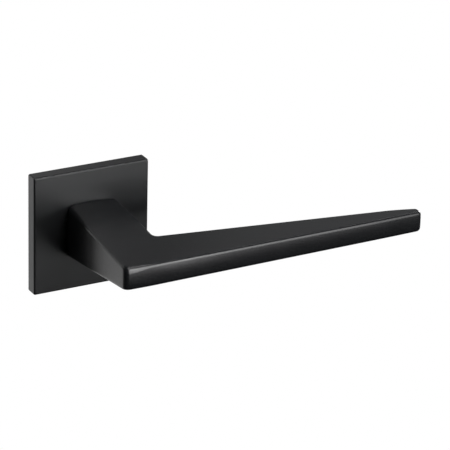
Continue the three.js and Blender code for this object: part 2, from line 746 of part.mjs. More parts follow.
// A bent strip in a notch of the base plate, which presses on the inside of the cover
function coverClip({ x, side }) {
  const notchFloor = baseHalf - CLIP_NOTCH_DEPTH;
  const inner = notchFloor + GAP / 2 + CLIP_THICKNESS / 2;
  const outer = roseInnerHalf - GAP / 2 - CLIP_THICKNESS / 2;
  const front = baseFront + CLIP_THICKNESS;
  const back = -CLIP_THICKNESS;
  const middle = (inner + outer) / 2;
  const points = [
    [inner, back],
    [inner, front + CLIP_BEND],
    [middle - 0.15, front],
    [outer - 0.3, front + CLIP_BEND],
    [outer, (front + back) / 2],
    [outer - CLIP_BEND, back],
  ].map(([z, y]) => [side * z, y]);
  const geometry = new THREE.ExtrudeGeometry(stripShape(points, CLIP_THICKNESS), {
    depth: CLIP_WIDTH,
    bevelEnabled: false,
  });
  // The strip is drawn in Z and Y, so its width has to run along X
  geometry.rotateY(-Math.PI / 2);
  geometry.translate(x + CLIP_WIDTH / 2, 0, 0);
  return solid(geometry);
}

for (const spot of clipPlaces) {
  place(`cover_clip_${spot.name}`, coverClip(spot), springSteel);
}

export default handle;
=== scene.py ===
import math

import bmesh
import bpy
from mathutils import Matrix, Vector


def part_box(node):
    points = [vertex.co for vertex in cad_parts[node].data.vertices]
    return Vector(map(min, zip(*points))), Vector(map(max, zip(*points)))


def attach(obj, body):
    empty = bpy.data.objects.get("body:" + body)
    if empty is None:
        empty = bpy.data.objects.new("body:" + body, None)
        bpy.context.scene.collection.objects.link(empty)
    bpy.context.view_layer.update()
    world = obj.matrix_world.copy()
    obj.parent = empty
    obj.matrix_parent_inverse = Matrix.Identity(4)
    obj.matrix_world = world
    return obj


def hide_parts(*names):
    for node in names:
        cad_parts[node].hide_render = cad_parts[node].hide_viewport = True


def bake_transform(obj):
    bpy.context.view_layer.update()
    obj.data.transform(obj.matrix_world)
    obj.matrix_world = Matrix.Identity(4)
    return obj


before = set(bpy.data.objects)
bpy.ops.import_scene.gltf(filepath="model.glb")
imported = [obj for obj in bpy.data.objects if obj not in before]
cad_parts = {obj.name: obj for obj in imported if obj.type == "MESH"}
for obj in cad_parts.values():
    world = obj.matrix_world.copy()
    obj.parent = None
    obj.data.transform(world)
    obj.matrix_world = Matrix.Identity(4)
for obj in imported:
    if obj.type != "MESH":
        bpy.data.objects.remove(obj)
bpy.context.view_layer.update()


# ---------------------------------------------------------------------------
# The lever. One zinc die casting in satin black powder coat: a square neck
# that turns into a flat, tapering blade. A set screw clamps it on the square
# bar, and a round spigot on its back turns in the rose.
# ---------------------------------------------------------------------------

MM = 0.001

ROSE_FRONT = 5.6          # how far the rose stands out from the door
ROOT_GAP = 0.7            # air between the rose and the neck's root
LINES_FROM = -8.0         # the plan's sloping lines are measured along the door from here
HEIGHT_AT_ROSE = 11.27    # half the neck's height where it meets the rose
HEIGHT_LOST_OUT = 0.1189  # half height lost for each millimetre outwards
HEIGHT_LOST_ALONG = 0.0043  # and for each millimetre along the blade
NECK_LEFT = -11.2
NECK_RIGHT = 11.5
NECK_RIGHT_DRAFT = 0.1    # the right side starts this much further in at the rose
NECK_DRAFT_LOST_OUT = 0.003  # and comes out by this much a millimetre
HEEL_ROUND = 2.1
INNER_ROUND = 2.5
INNER_CENTRE = (14.0, 31.57)
FRONT_AT_NECK = 54.09     # the blade's front face, from the rose, in front of the neck
FRONT_LEAN = 0.01467      # how it comes nearer the door along the blade
HEEL_BOW = 0.5            # the front falls back by this much at the heel
HEEL_BOW_FROM = 4.0
TIP_BOW = 0.25            # and by this much at the tip
TIP_BOW_FROM = 100.0
BACK_EDGE = [             # the blade's back, along the door and out from the rose
    (13.69, 34.05), (20.9, 34.94), (60.0, 39.75), (100.0, 44.68), (114.4, 46.45),
    (117.9, 47.09), (121.35, 47.79), (124.4, 48.5), (127.35, 49.25),
]
FRONT_LAG = 2.42          # near the heel a section's front end lags its back end by this much
FRONT_LAG_FROM, FRONT_LAG_GONE_BY = 13.7, 40.0
LEVER_END = 127.35
END_ROUND = 0.95          # seen from above
END_CORNER = 1.9          # seen from the front
ROOT_CROWN_UP = 0.77      # the root section bulges out from a plain square
ROOT_CROWN_SIDE = 0.35
CROWN_FADES_BY = 34.0
ROOT_EDGE_ROUND = 2.2     # edge radius at the root, which fades to the next
EDGE_ROUND = 0.5          # along the back of the blade
NECK_EDGE_ROUND = 1.3     # along the neck's left side
FRONT_EDGE_ROUND = 0.45   # the front's edges start tight at the top and roll off down the face
FRONT_EDGE_ROLL = 5.5
HEEL_EDGE_ROLL = 12.0
FRONT_CROWN = 0.25        # the front face is gently rounded across its height
SPIGOT_RADIUS = 8.0
SPIGOT_END = 1.3
SPIGOT_EASE = 0.4
SPINDLE_HOLE = 4.2        # half the width of the square hole
SPINDLE_HOLE_END = 26.6
SCREW_HOLE = 3.0
SCREW_HOLE_CLEARANCE = 0.15
SCREW_HOLE_FROM, SCREW_HOLE_TO = 3.8, 14.0  # below the bar's middle
SCREW_FROM_DOOR = 13.6

CORNER_STEPS = 10         # vertices round each corner of a section
SIDE_STEPS = 15           # and along each side


def plan_point(x, out):
    """A point of the lever's plan: along the door, and out from the rose's front."""
    return Vector((x * MM, -(ROSE_FRONT + out) * MM, 0.0))


def half_height(point):
    out = -point.y / MM - ROSE_FRONT
    along = point.x / MM - LINES_FROM
    return (HEIGHT_AT_ROSE - HEIGHT_LOST_OUT * out - HEIGHT_LOST_ALONG * along) * MM


def table_value(table, x):
    """The value at x of a table of points joined by straight lines."""
    for (x0, y0), (x1, y1) in zip(table, table[1:]):
        if x <= x1 or (x1, y1) == table[-1]:
            return y0 + (y1 - y0) * (x - x0) / (x1 - x0)


def side_share(step):
    """Where a section's vertices sit along a side, closer together near its corners."""
    share = (step + 0.5) / SIDE_STEPS
    return 2.0 * (0.35 * share + 0.65 * (share * share * (3.0 - 2.0 * share))) - 1.0


def corner_curve(tight, roll, room):
    """A rounded corner as (in from the side, down from the flat), its radius growing from tight by roll."""
    spots = [(0.0, 0.0)]
    for degree in range(90):
        turn = math.radians(degree + 0.5)
        radius = (tight + roll * ((degree + 0.5) / 90.0) ** 6) * math.radians(1.0)
        spots.append((spots[-1][0] + radius * math.cos(turn), spots[-1][1] + radius * math.sin(turn)))
    deep, high = spots[-1]
    fit = min(1.0, room[0] / deep, room[1] / high)
    picked = [spots[round(90 * step / (CORNER_STEPS - 1))] for step in range(CORNER_STEPS)]
    return [((deep - x) * fit, z * fit) for x, z in picked]


def shape_section(ring, inner, outer, edge_rounds, crown_up, crown_inner, crown_outer, shrink=(0.0, 0.0)):
    """Moves a loop's vertices to the lever's section in the upright plane through two plan points."""
    across = outer - inner
    half_wide = across.length / 2.0
    across.normalize()
    middle = (inner + outer) / 2.0
    high_inner = half_height(inner)
    high_outer = half_height(outer)
    half_high = (high_inner + high_outer) / 2.0
    wide = half_wide - shrink[0]
    high = half_high - shrink[1]
    curves = [corner_curve(tight, roll, (wide * 0.9, high * 0.9)) for tight, roll in edge_rounds]
    corners = ((1, 1), (-1, 1), (-1, -1), (1, -1))
    for index, vertex in enumerate(ring):
        quarter, step = divmod(index, CORNER_STEPS + SIDE_STEPS)
        sx, sz = corners[quarter]
        curve = curves[1] if sx > 0 else curves[0]
        next_curve = curves[1] if corners[(quarter + 1) % 4][0] > 0 else curves[0]
        if step < CORNER_STEPS:
            inset, drop = curve[step] if quarter % 2 else curve[-1 - step]
            x = sx * (wide - inset)
            z = sz * (high - drop)
        else:
            share = side_share(step - CORNER_STEPS)
            if quarter % 2 == 0:
                start, end = sx * (wide - curve[0][0]), -sx * (wide - next_curve[0][0])
                x = start + (end - start) * (share + 1.0) / 2.0
                z = sz * high
            else:
                x = sx * wide
                z = -sz * (high - curve[-1][1]) * share
        lift = crown_up * (1.0 - (x / wide) ** 2)
        crown = crown_outer if x > 0 else crown_inner
        bulge = crown * (1.0 - (z / high) ** 2) * x / wide
        height = high_inner + (high_outer - high_inner) * (x / half_wide + 1.0) / 2.0
        z = z * (1.0 + lift / high) * height / half_high
        vertex.co = middle + across * (x + bulge) + Vector((0.0, 0.0, z))


def ring_edges(ring):
    """The edges that join a loop's own vertices."""
    members = set(ring)
    return [e for e in {e for v in ring for e in v.link_edges} if set(e.verts) <= members]


def drawn_on(bm, ring):
    """Extrudes a loop and gives back the new loop's vertices in the same order."""
    made = bmesh.ops.extrude_edge_only(bm, edges=ring_edges(ring))["geom"]
    fresh = {v for v in made if isinstance(v, bmesh.types.BMVert)}
    return [next(e.other_vert(v) for e in v.link_edges if e.other_vert(v) in fresh) for v in ring]


def fade(value, start, end):
    """1 before start, 0 after end, smooth between."""
    share = min(1.0, max(0.0, (value - start) / (end - start)))
    return 1.0 - share * share * (3.0 - 2.0 * share)


def smooth_faces(bm, sharp_angle):
    """Smooth faces, with crisp edges where the shape turns sharply."""
    for face in bm.faces:
        face.smooth = True
    for edge in bm.edges:
        edge.smooth = edge.calc_face_angle(3.0) < math.radians(sharp_angle)


def new_piece(name, bm, sharp_angle=40.0):
    """Closes a bmesh into a named object."""
    bmesh.ops.recalc_face_normals(bm, faces=bm.faces)
    smooth_faces(bm, sharp_angle)
    mesh = bpy.data.meshes.new(name)
    bm.to_mesh(mesh)
    bm.free()
    piece = bpy.data.objects.new(name, mesh)
    bpy.context.scene.collection.objects.link(piece)
    return piece


def weigh_normals(piece):
    """Keeps broad faces flat to the eye beside their rounded edges."""
    weigh = piece.modifiers.new("weighted normals", "WEIGHTED_NORMAL")
    weigh.keep_sharp = True
    weigh.weight = 90


def combine(piece, tool, operation, sharp_angle=40.0):
    """Joins the tool's shape to the piece, or cuts it out, and throws the tool away."""
    step = piece.modifiers.new("combine", "BOOLEAN")
    step.operation = operation
    step.solver = "EXACT"
    step.object = tool
    result = bpy.data.meshes.new_from_object(piece.evaluated_get(bpy.context.evaluated_depsgraph_get()))
    piece.modifiers.remove(step)
    bm = bmesh.new()
    bm.from_mesh(result)
    smooth_faces(bm, sharp_angle)
    bm.to_mesh(piece.data)
    bm.free()
    bpy.data.meshes.remove(result)
    bpy.data.objects.remove(tool)


def drum(radius, near, far, segments=96):
    """A bmesh holding a closed drum round the turning axis, from one distance off the door to another."""
    bm = bmesh.new()
    turn = Matrix.Rotation(math.pi / 2.0, 4, "X")
    move = Matrix.Translation((0.0, -(near + far) / 2.0 * MM, 0.0))
    bmesh.ops.create_cone(
        bm, cap_ends=True, segments=segments, radius1=radius * MM, radius2=radius * MM,
        depth=abs(far - near) * MM, matrix=move @ turn,
    )
    return bm


def front_face(x):
    """How far out the blade's front stands: a straight that falls back a little at the heel and the tip."""
    near_heel = min(1.0, max(0.0, (HEEL_BOW_FROM - x) / (HEEL_BOW_FROM - NECK_LEFT)))
    near_tip = min(1.0, max(0.0, (x - TIP_BOW_FROM) / (LEVER_END - TIP_BOW_FROM)))
    return FRONT_AT_NECK - FRONT_LEAN * (x - LINES_FROM) - HEEL_BOW * near_heel ** 2 - TIP_BOW * near_tip ** 2


def lever_stations():
    """Plan points on the inner and outer outline, and how far each section is from the root."""
    stations = []
    for out in (0.7, 0.85, 1.1, 1.6, 2.4, 3.6, 5, 7, 9, 11, 13, 15, 17, 19, 21, 23, 25, 27, 29, 30.5):
        right = NECK_RIGHT - NECK_RIGHT_DRAFT + NECK_DRAFT_LOST_OUT * out
        stations.append((plan_point(right, out), plan_point(NECK_LEFT, out), out))
    outline = [(NECK_LEFT, out) for out in (31.57, 34, 36.5, 39, 41.5, 44, 46, 48, 49.5, 50.7)]
    heel = (NECK_LEFT + HEEL_ROUND, front_face(NECK_LEFT) - HEEL_ROUND)
    for step in range(9):
        turn = math.pi - math.pi / 2.0 * step / 8.0
        outline.append((heel[0] + HEEL_ROUND * math.cos(turn), heel[1] + HEEL_ROUND * math.sin(turn)))
    outline += [(x, front_face(x)) for x in (-9.2, -8.5, -7.5, -6, -4, -2, 0, 2.4, 4.8, 7, 9.2, 11.27)]
    centre = plan_point(*INNER_CENTRE)
    for x, out in outline:
        outer = plan_point(x, out)
        inner = centre + (outer - centre).normalized() * INNER_ROUND * MM
        stations.append((inner, outer, out))
    for x in (15, 17, 19.5, 22.5, 26, 30, 35, 40, 46, 52, 58, 64, 70, 76, 82, 88, 94, 100, 105, 109, 112,
              114.4, 116, 117.9, 119.6, 121.35, 122.6, 123.6, 124.4, 125.0, 125.4):
        lag = FRONT_LAG * fade(x, FRONT_LAG_FROM, FRONT_LAG_GONE_BY)
        inner = plan_point(x, table_value(BACK_EDGE, x))
        outer = plan_point(x - lag, front_face(x - lag))
        stations.append((inner, outer, 60.0))
    return stations


bm = bmesh.new()
ring = first_ring = bmesh.ops.create_circle(bm, segments=4 * (CORNER_STEPS + SIDE_STEPS), radius=1.0)["verts"]
for number, (inner, outer, out) in enumerate(lever_stations()):
    if number:
        ring = drawn_on(bm, ring)
    crown = fade(out, 0.0, CROWN_FADES_BY)
    root_part = fade(out, -6.0, 27.0)
    edge = EDGE_ROUND + (ROOT_EDGE_ROUND - EDGE_ROUND) * root_part
    side_edge = NECK_EDGE_ROUND + (ROOT_EDGE_ROUND - NECK_EDGE_ROUND) * root_part
    on_front = 1.0 - fade(outer.x / MM, NECK_LEFT, NECK_LEFT + HEEL_ROUND) if out > 50 else 0.0
    roll = FRONT_EDGE_ROLL + (HEEL_EDGE_ROLL - FRONT_EDGE_ROLL) * fade(outer.x / MM, -9.0, 2.0)
    outer_edge = ((side_edge + (FRONT_EDGE_ROUND - side_edge) * on_front) * MM, roll * on_front * MM)
    shape_section(
        ring, inner, outer, ((edge * MM, 0.0), outer_edge),
        ROOT_CROWN_UP * crown * MM, ROOT_CROWN_SIDE * crown * MM,
        (ROOT_CROWN_SIDE * crown + FRONT_CROWN * on_front) * MM,
    )
for step in range(1, 13):
    turn = math.pi / 2.0 * step / 12.0
    from_end = END_CORNER * (1.0 - math.sin(turn))
    inner = plan_point(LEVER_END - from_end, table_value(BACK_EDGE, LEVER_END - from_end))
    outer = plan_point(LEVER_END - from_end, front_face(LEVER_END - from_end))
    reach = max(0.0, 1.0 - from_end / END_ROUND)
    slim = END_ROUND * (1.0 - math.sqrt(1.0 - reach * reach)) * MM
    low = END_CORNER * (1.0 - math.cos(turn)) * MM
    ring = drawn_on(bm, ring)
    shape_section(
        ring, inner, outer,
        ((EDGE_ROUND * MM, 0.0), (FRONT_EDGE_ROUND * MM, FRONT_EDGE_ROLL * math.cos(turn) * MM)),
        0.0, 0.0, FRONT_CROWN * math.cos(turn) * MM, (slim, low),
    )
bmesh.ops.contextual_create(bm, geom=ring_edges(first_ring))
bmesh.ops.contextual_create(bm, geom=ring_edges(ring))
lever = new_piece("lever_body", bm, 50.0)

# The spigot, with its mouth eased, then the square hole and the tapped hole from below.
bm = drum(SPIGOT_RADIUS, SPIGOT_END, ROSE_FRONT + ROOT_GAP + 1.0)
rim = [e for e in bm.edges if all(abs(v.co.y + SPIGOT_END * MM) < 1e-6 for v in e.verts)]
bmesh.ops.bevel(bm, geom=rim, offset=SPIGOT_EASE * MM, offset_type="OFFSET", segments=2, profile=0.5,
                affect="EDGES", material=-1)
combine(lever, new_piece("spigot", bm), "UNION", 50.0)
bm = bmesh.new()
bmesh.ops.create_cube(bm, size=1.0)
bmesh.ops.scale(bm, vec=(2 * SPINDLE_HOLE * MM, SPINDLE_HOLE_END * MM, 2 * SPINDLE_HOLE * MM), verts=bm.verts)
bmesh.ops.translate(bm, vec=(0.0, -SPINDLE_HOLE_END / 2.0 * MM, 0.0), verts=bm.verts)
combine(lever, new_piece("square_hole", bm), "DIFFERENCE", 50.0)
bm = drum(SCREW_HOLE + SCREW_HOLE_CLEARANCE, SCREW_HOLE_FROM, SCREW_HOLE_TO, 48)
bmesh.ops.rotate(bm, matrix=Matrix.Rotation(math.pi / 2.0, 3, "X"), verts=bm.verts)
bmesh.ops.translate(bm, vec=(0.0, -SCREW_FROM_DOOR * MM, 0.0), verts=bm.verts)
combine(lever, new_piece("tapped_hole", bm), "DIFFERENCE", 50.0)
weigh_normals(lever)


def linear(code):
    """An sRGB hex colour as linear red, green, blue and full alpha."""
    parts = [int(code[i:i + 2], 16) / 255.0 for i in (0, 2, 4)]
    return [c / 12.92 if c <= 0.04045 else ((c + 0.055) / 1.055) ** 2.4 for c in parts] + [1.0]


def add_node(tree, kind, settings=None, inputs=None, links=None):
    """Adds a node with its settings, its sockets' values and the links into it."""
    node = tree.nodes.new(kind)
    for key, value in (settings or {}).items():
        setattr(node, key, value)
    for key, value in (inputs or {}).items():
        node.inputs[key].default_value = value
    for key, source in (links or {}).items():
        tree.links.new(source, node.inputs[key])
    return node


def new_material(name):
    material = bpy.data.materials.new(name)
    material.use_nodes = True
    material.node_tree.nodes.clear()
    return material, material.node_tree


def finish_material(tree, shader):
    add_node(tree, "ShaderNodeOutputMaterial", links={"Surface": shader})


def dress(piece, material):
    piece.data.materials.clear()
    piece.data.materials.append(material)


COAT_DARK = "18191a"
COAT_LIGHT = "1c1d1f"
COAT_IOR = 1.5
COAT_ROUGHNESS = 0.22
COAT_ROUGHNESS_DRIFT = 0.02
MM_IN_A_METRE = 1000.0
PEEL_SIZE = 1.0           # across one dimple of the orange peel
PEEL_DEPTH = 0.06
COAT_GRAIN_SIZE = 0.2
COAT_GRAIN_DEPTH = 0.01
CLOUD_SCALE = 90.0        # the tone drifts over about a centimetre


def powder_coat(name, roughness):
    """Powder sprayed on and baked: a dark soft gloss with fine orange peel, whose tone drifts a little."""
    material, tree = new_material(name)
    place = add_node(tree, "ShaderNodeTexCoord")
    spot = {"Vector": place.outputs["Object"]}
    peel = add_node(
        tree, "ShaderNodeTexNoise", inputs={"Scale": MM_IN_A_METRE / PEEL_SIZE, "Detail": 2.0}, links=spot)
    grain = add_node(
        tree, "ShaderNodeTexNoise",
        inputs={"Scale": MM_IN_A_METRE / COAT_GRAIN_SIZE, "Detail": 1.0}, links=spot)
    cloud = add_node(tree, "ShaderNodeTexNoise", inputs={"Scale": CLOUD_SCALE, "Detail": 3.0}, links=spot)
    peel_bump = add_node(
        tree, "ShaderNodeBump", inputs={"Strength": 0.07, "Distance": PEEL_DEPTH * MM},
        links={"Height": peel.outputs["Fac"]},
    )
    grain_bump = add_node(
        tree, "ShaderNodeBump", inputs={"Strength": 0.05, "Distance": COAT_GRAIN_DEPTH * MM},
        links={"Height": grain.outputs["Fac"], "Normal": peel_bump.outputs["Normal"]},
    )
    shade = add_node(
        tree, "ShaderNodeMix", settings={"data_type": "RGBA"},
        inputs={6: linear(COAT_DARK), 7: linear(COAT_LIGHT)}, links={0: cloud.outputs["Fac"]},
    )
    shine = add_node(
        tree, "ShaderNodeMapRange",
        inputs={"To Min": roughness - COAT_ROUGHNESS_DRIFT, "To Max": roughness + COAT_ROUGHNESS_DRIFT},
        links={"Value": cloud.outputs["Fac"]},
    )
    coat = add_node(
        tree, "ShaderNodeBsdfPrincipled", inputs={"IOR": COAT_IOR},
        links={"Base Color": shade.outputs[2], "Roughness": shine.outputs["Result"],
               "Normal": grain_bump.outputs["Normal"]},
    )
    finish_material(tree, coat.outputs["BSDF"])
    return material


dress(lever, powder_coat("satin_black_powder_coat", COAT_ROUGHNESS))
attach(lever, "lever")
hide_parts("lever")


# ---------------------------------------------------------------------------
# The set screw. A cup-point hexagon socket screw, blacked steel, that grips
# the square bar from under the neck.
# ---------------------------------------------------------------------------

def turned(profile, segments=96):
    """Turns a closed profile of (radius, distance behind the door's face) points round the spindle's axis."""
    bm = bmesh.new()
    corners = [bm.verts.new((radius * MM, y * MM, 0.0)) for radius, y in profile]
    edges = [bm.edges.new((corners[i], corners[i - 1])) for i in range(len(corners))]
    bmesh.ops.spin(bm, geom=corners + edges, cent=(0, 0, 0), axis=(0, 1, 0), angle=2 * math.pi,
                   steps=segments, use_merge=True)
    bmesh.ops.remove_doubles(bm, verts=bm.verts, dist=1e-7)
    bmesh.ops.dissolve_degenerate(bm, edges=bm.edges, dist=1e-7)
    bmesh.ops.delete(bm, geom=[e for e in bm.edges if not e.link_faces], context="EDGES")
    return bm


METAL_DRIFT_SCALE = 140.0    # a metal's tone drifts over about 7 mm
METAL_ROUGHNESS_SPREAD = 0.08
METAL_GRAIN_DEPTH = 0.05


def metal(name, dark, light, roughness, grains_in_a_metre, bump, stretch=(1.0, 1.0, 1.0)):
    """A metal whose colour drifts between two tones and whose surface has a grain."""
    material, tree = new_material(name)
    place = add_node(tree, "ShaderNodeTexCoord")
    spot = {"Vector": place.outputs["Object"]}
    along = add_node(tree, "ShaderNodeMapping", inputs={"Scale": stretch}, links=spot)
    drift = add_node(
        tree, "ShaderNodeTexNoise", inputs={"Scale": METAL_DRIFT_SCALE, "Detail": 4.0}, links=spot)
    grain = add_node(
        tree, "ShaderNodeTexNoise", inputs={"Scale": grains_in_a_metre, "Detail": 3.0},
        links={"Vector": along.outputs["Vector"]},
    )
    tone = add_node(
        tree, "ShaderNodeMix", settings={"data_type": "RGBA"},
        inputs={6: linear(dark), 7: linear(light)}, links={0: drift.outputs["Fac"]},
    )
    rough = add_node(
        tree, "ShaderNodeMapRange",
        inputs={"To Min": roughness - METAL_ROUGHNESS_SPREAD, "To Max": roughness + METAL_ROUGHNESS_SPREAD},
        links={"Value": grain.outputs["Fac"]},
    )
    relief = add_node(
        tree, "ShaderNodeBump", inputs={"Strength": bump, "Distance": METAL_GRAIN_DEPTH * MM},
        links={"Height": grain.outputs["Fac"]},
    )
    shader = add_node(
        tree, "ShaderNodeBsdfPrincipled", inputs={"Metallic": 1.0},
        links={"Base Color": tone.outputs[2], "Roughness": rough.outputs["Result"],
               "Normal": relief.outputs["Normal"]},
    )
    finish_material(tree, shader.outputs["BSDF"])
    return material


# Blacked steel: an oiled oxide skin, dark with a soft shine.
blacked_steel = metal("blacked_steel", "2b2c2e", "3a3b3d", 0.38, 2500.0, 0.2)

SCREW_TOP, SCREW_FOOT = 4.3, 9.5
SCREW_THREAD = 0.8
SCREW_CREST, SCREW_GROOVE = 2.95, 2.55
SOCKET_RADIUS = 1.7
SOCKET_DEPTH = 2.6
screw_profile = [(0.0, -SCREW_TOP - 0.6), (1.6, -SCREW_TOP), (2.3, -SCREW_TOP)]
level_at = SCREW_TOP + 0.5
while level_at < SCREW_FOOT - 0.6:
    screw_profile += [
        (SCREW_CREST, -level_at), (SCREW_CREST, -level_at - 0.12),
        (SCREW_GROOVE, -level_at - 0.4), (SCREW_GROOVE, -level_at - 0.52),
    ]
    level_at += SCREW_THREAD
screw_profile += [(2.8, -SCREW_FOOT + 0.3), (2.5, -SCREW_FOOT), (0.0, -SCREW_FOOT)]
bm = turned(screw_profile, 48)
bmesh.ops.rotate(bm, matrix=Matrix.Rotation(math.pi / 2.0, 3, "X"), verts=bm.verts)
bmesh.ops.translate(bm, vec=(0.0, -SCREW_FROM_DOOR * MM, 0.0), verts=bm.verts)
screw = new_piece("hexagon_socket_screw", bm)
bm = bmesh.new()
bmesh.ops.create_cone(
    bm, cap_ends=True, segments=6, radius1=SOCKET_RADIUS * MM, radius2=SOCKET_RADIUS * MM,
    depth=2 * SOCKET_DEPTH * MM, matrix=Matrix.Translation((0.0, -SCREW_FROM_DOOR * MM, -SCREW_FOOT * MM)),
)
combine(screw, new_piece("hexagon", bm), "DIFFERENCE")
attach(screw, "lever")
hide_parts("set_screw")
dress(screw, blacked_steel)


# ---------------------------------------------------------------------------
# The rose cover. A shallow square cap pressed over the fixings, powder
# coated like the lever, with a round hole for the lever's spigot.
# ---------------------------------------------------------------------------

ROSE_HALF = 26.0
ROSE_WALL = 1.2
ROSE_EDGE = 0.75
ROSE_HOLE = 9.7
ROSE_COAT_ROUGHNESS = 0.36

bm = bmesh.new()
bmesh.ops.create_cube(bm, size=1.0)
bmesh.ops.scale(bm, vec=(2 * ROSE_HALF * MM, ROSE_FRONT * MM, 2 * ROSE_HALF * MM), verts=bm.verts)
bmesh.ops.translate(bm, vec=(0.0, -ROSE_FRONT / 2.0 * MM, 0.0), verts=bm.verts)
back = [f for f in bm.faces if f.normal.y > 0.5]
bmesh.ops.delete(bm, geom=back, context="FACES_ONLY")
round_edges = [e for e in bm.edges if not e.is_boundary]
bmesh.ops.bevel(bm, geom=round_edges, offset=ROSE_EDGE * MM, offset_type="OFFSET", segments=6,
                profile=0.5, affect="EDGES", material=-1)
bmesh.ops.recalc_face_normals(bm, faces=bm.faces)
bmesh.ops.solidify(bm, geom=bm.faces[:], thickness=ROSE_WALL * MM)
rose = new_piece("rose_cover_cap", bm, 50.0)
combine(rose, new_piece("hole", drum(ROSE_HOLE, 3.0, 8.0)), "DIFFERENCE", 50.0)
weigh_normals(rose)
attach(rose, "rose")
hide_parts("rose_cover")
# The same powder, its shine taken to be a little softer on the pressing than on the casting.
dress(rose, powder_coat("satin_black_powder_coat_on_pressing", ROSE_COAT_ROUGHNESS))


# ---------------------------------------------------------------------------
# The guide ring. Black nylon, clipped into the hole of the rose cover, so
# that the neck doesn't rub on the coating.
# ---------------------------------------------------------------------------

MOULD_GRAIN_DEPTH = 0.03


def plastic(name, dark, light, roughness, ior, grains_in_a_metre, bump):
    """A moulded plastic with a faint spark-eroded grain."""
    material, tree = new_material(name)
    place = add_node(tree, "ShaderNodeTexCoord")
    grain = add_node(
        tree, "ShaderNodeTexNoise", inputs={"Scale": grains_in_a_metre, "Detail": 2.0},
        links={"Vector": place.outputs["Object"]},
    )
    tone = add_node(
        tree, "ShaderNodeMix", settings={"data_type": "RGBA"},
        inputs={6: linear(dark), 7: linear(light)}, links={0: grain.outputs["Fac"]},
    )
    relief = add_node(
        tree, "ShaderNodeBump", inputs={"Strength": bump, "Distance": MOULD_GRAIN_DEPTH * MM},
        links={"Height": grain.outputs["Fac"]},
    )
    shader = add_node(
        tree, "ShaderNodeBsdfPrincipled", inputs={"IOR": ior, "Roughness": roughness},
        links={"Base Color": tone.outputs[2], "Normal": relief.outputs["Normal"]},
    )
    finish_material(tree, shader.outputs["BSDF"])
    return material


# Black nylon: matt, with a faint grain from the mould.
black_nylon = plastic("moulded_black_nylon", "121213", "1a1a1b", 0.5, 1.53, 3000.0, 0.2)

bm = turned([
    (8.35, -6.1), (9.9, -6.1), (10.0, -6.0), (10.0, -5.8), (9.45, -5.75), (9.4, -5.6),
    (9.4, -4.55), (9.25, -4.4), (8.45, -4.4), (8.3, -4.55), (8.3, -6.0),
])
guide = new_piece("guide_ring_moulding", bm)
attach(guide, "rose")
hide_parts("guide_ring")
dress(guide, black_nylon)


# ---------------------------------------------------------------------------
# The base plate. A zinc die casting with a round housing for the spring,
# pockets that save metal, and notches for the cover's clips.
# ---------------------------------------------------------------------------

def eased_copy(name, node, ease, sharp_angle=32.0):
    """A copy of a fixed part with its facets merged and every sharp edge eased."""
    bm = bmesh.new()
    bm.from_mesh(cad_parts[node].data)
    bmesh.ops.remove_doubles(bm, verts=bm.verts, dist=1e-6)
    bmesh.ops.dissolve_limit(bm, angle_limit=math.radians(0.8), verts=bm.verts, edges=bm.edges)
    sharp = [e for e in bm.edges if e.calc_face_angle(0.0) > math.radians(sharp_angle)]
    bmesh.ops.bevel(bm, geom=sharp, offset=ease * MM, offset_type="OFFSET", segments=2, profile=0.5,
                    affect="EDGES", clamp_overlap=True, material=-1)
    bmesh.ops.triangulate(bm, faces=[f for f in bm.faces if len(f.verts) > 4])
    piece = new_piece(name, bm, 40.0)
    weigh_normals(piece)
    return piece


# Die-cast zinc, tumbled: pale grey, satin, with a fine pebbled skin about 0.4 mm across.
cast_zinc = metal("tumbled_cast_zinc", "a9acaf", "bfc1c3", 0.42, 2400.0, 0.3)

base = eased_copy("base_plate_casting", "base_plate", 0.22)
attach(base, "rose")
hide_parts("base_plate")
dress(base, cast_zinc)


# ---------------------------------------------------------------------------
# The cover clips. Four bent strips of spring steel, hooked over the base
# plate's notches, that grip the inside of the rose cover.
# ---------------------------------------------------------------------------

# Tempered spring steel: dark grey with a slight blue and brown drift.
spring_steel = metal("tempered_spring_steel", "5b5e64", "77736e", 0.34, 1800.0, 0.2)

for corner in ("upper_left", "upper_right", "lower_left", "lower_right"):
    clip = eased_copy(f"clip_strip_{corner}", f"cover_clip_{corner}", 0.08)
    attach(clip, "rose")
    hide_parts(f"cover_clip_{corner}")
    dress(clip, spring_steel)


# ---------------------------------------------------------------------------
# The threaded posts. Turned steel, zinc plated, tapped for the screws that
# come through the door from the other side, and riveted into the plate.
# ---------------------------------------------------------------------------

# Bright zinc plate on steel: cool silver, smooth, with a faint cloudiness.
plated_steel = metal("bright_zinc_plate", "b9c0c8", "cfd0cb", 0.3, 1500.0, 0.04)

POST_AT = 19.0
THREAD_PITCH = 0.7
THREAD_CREST, THREAD_GROOVE = 1.62, 2.0
post_profile = [
    (0.0, -4.1), (4.35, -4.1), (4.6, -3.9), (4.6, -3.15), (4.45, -3.0), (3.6, -3.0),
    (3.5, -2.85), (3.5, 5.9), (3.35, 6.3), (3.05, 6.5), (2.3, 6.5), (2.05, 6.3),
]
level_at = 6.1
while level_at > -1.6:
    post_profile += [
        (THREAD_GROOVE, level_at), (THREAD_GROOVE, level_at - 0.08),
        (THREAD_CREST, level_at - 0.3), (THREAD_CREST, level_at - 0.42),
    ]
    level_at -= THREAD_PITCH
post_profile += [(1.65, -2.0), (0.0, -2.9)]
for side, sign in (("left", -1.0), ("right", 1.0)):
    bm = turned(post_profile, 64)
    bmesh.ops.translate(bm, vec=(sign * POST_AT * MM, 0.0, 0.0), verts=bm.verts)
    post = new_piece(f"threaded_post_{side}", bm, 35.0)
    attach(post, "rose")
    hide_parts(f"post_{side}")
    dress(post, plated_steel)


